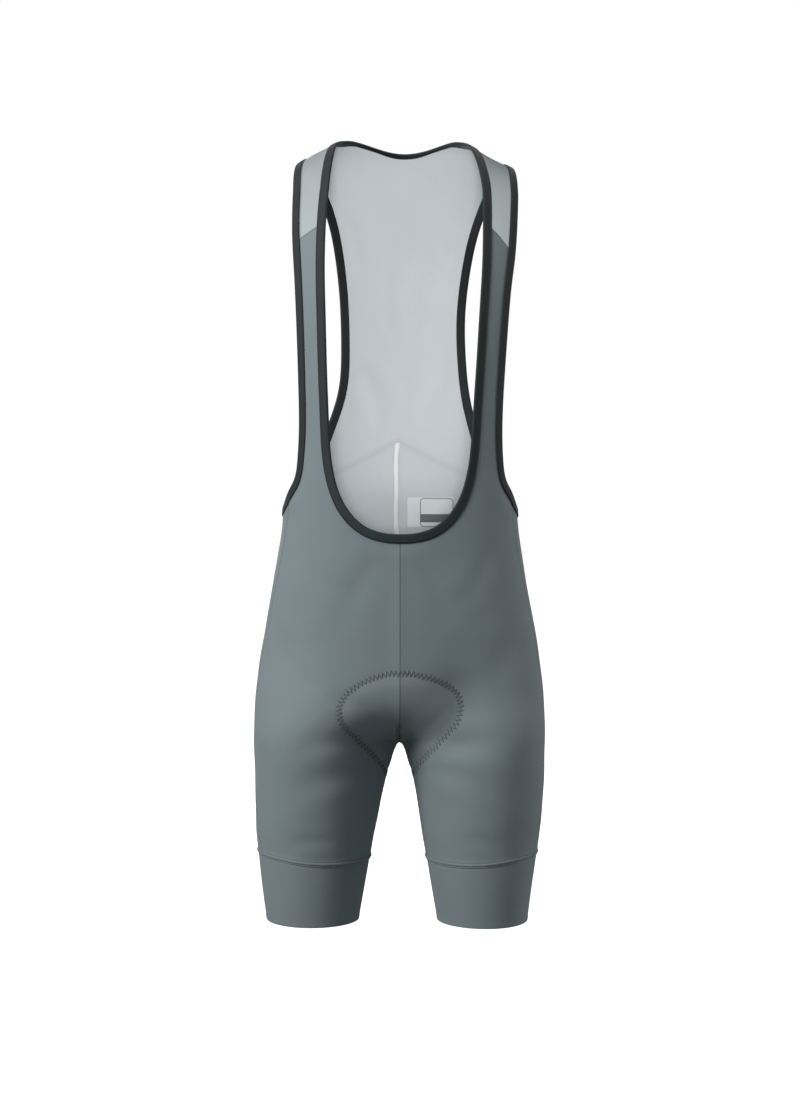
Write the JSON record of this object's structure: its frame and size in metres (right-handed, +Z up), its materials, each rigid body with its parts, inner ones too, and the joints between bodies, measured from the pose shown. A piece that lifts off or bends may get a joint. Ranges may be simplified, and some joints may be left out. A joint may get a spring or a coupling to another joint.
{
  "type": "cycling bib shorts",
  "caption": "Fitted knee-length cycling shorts with integral shoulder straps, a racer back, bound edges, a seat pad and gripper leg bands, filled out as worn.",
  "frame": {"origin": "level with the top of the shoulder straps, mid-way between them, where the wearer's shoulders carry the garment", "axes": "+Z up, the front faces -Y, +X towards the wearer's left"},
  "size_m": [0.3314, 0.2184, 0.8972],
  "materials": {
    "slate_knit": "matt warp knit, blue-grey outside and light grey inside",
    "pale_knit": "matt light grey knit",
    "binding_knit": "folded elastic knit binding, charcoal",
    "pad_foam": "brushed knit over foam",
    "tape_weave": "soft woven tape, off-white",
    "label_print": "smooth printed patch"
  },
  "bodies": {
    "root": {"front_left": "slate_knit", "front_right": "slate_knit", "side_left": "slate_knit", "side_right": "slate_knit", "back_left": "slate_knit", "back_right": "slate_knit", "upper_back": "pale_knit", "leg_band_left": "slate_knit", "leg_band_right": "slate_knit", "neck_binding": "binding_knit", "armhole_binding_left": "binding_knit", "armhole_binding_right": "binding_knit", "seat_pad": "pad_foam", "back_seam_tape": "tape_weave", "size_label": "label_print"}
  },
  "joints": []
}
